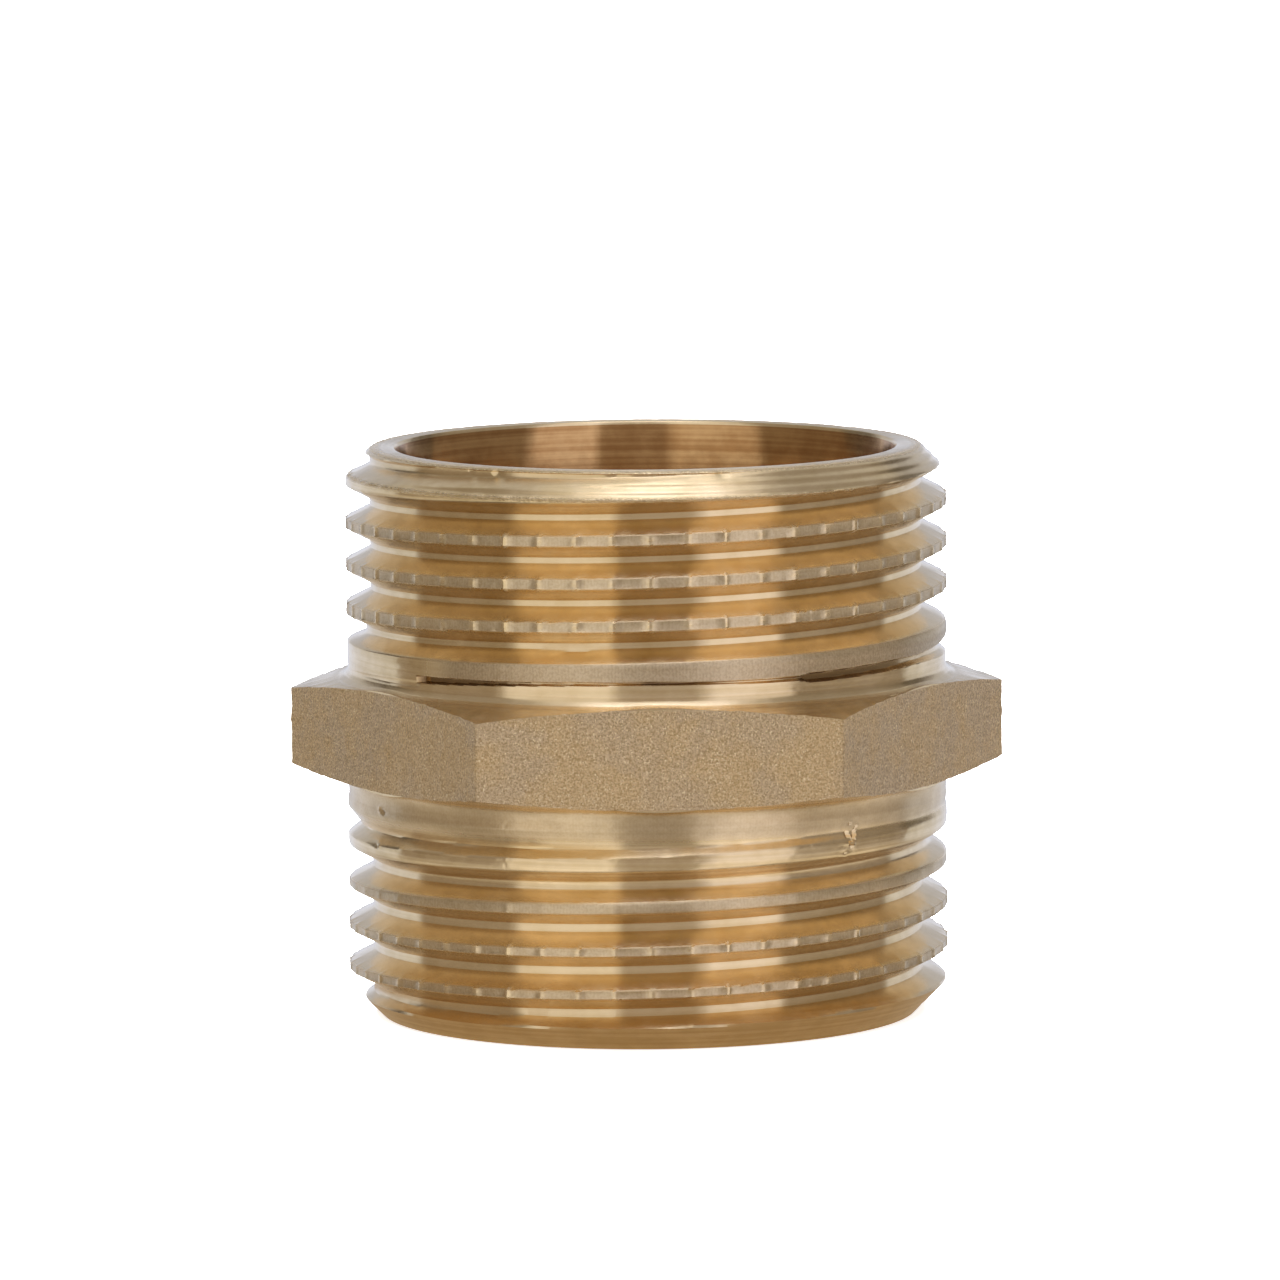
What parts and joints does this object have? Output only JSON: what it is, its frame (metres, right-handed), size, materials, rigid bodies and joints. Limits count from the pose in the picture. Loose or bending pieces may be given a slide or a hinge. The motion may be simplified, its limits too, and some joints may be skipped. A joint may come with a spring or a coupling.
{
  "type": "hex nipple",
  "caption": "Straight hex nipple: a short brass pipe fitting with an equal male parallel thread on each side of a central wrench hexagon and an open bore through it.",
  "frame": {"origin": "centre of the lower end face, which the nipple stands on", "axes": "+Z along the bore axis from the lower end to the upper end; one wrench flat faces -Y"},
  "size_m": [0.0392, 0.034, 0.0312],
  "materials": {
    "brass": "bright machined threads, end faces and bore; blasted, slightly rough forged hexagon flats"
  },
  "bodies": {
    "root": {"nipple_body": "brass"}
  },
  "joints": []
}
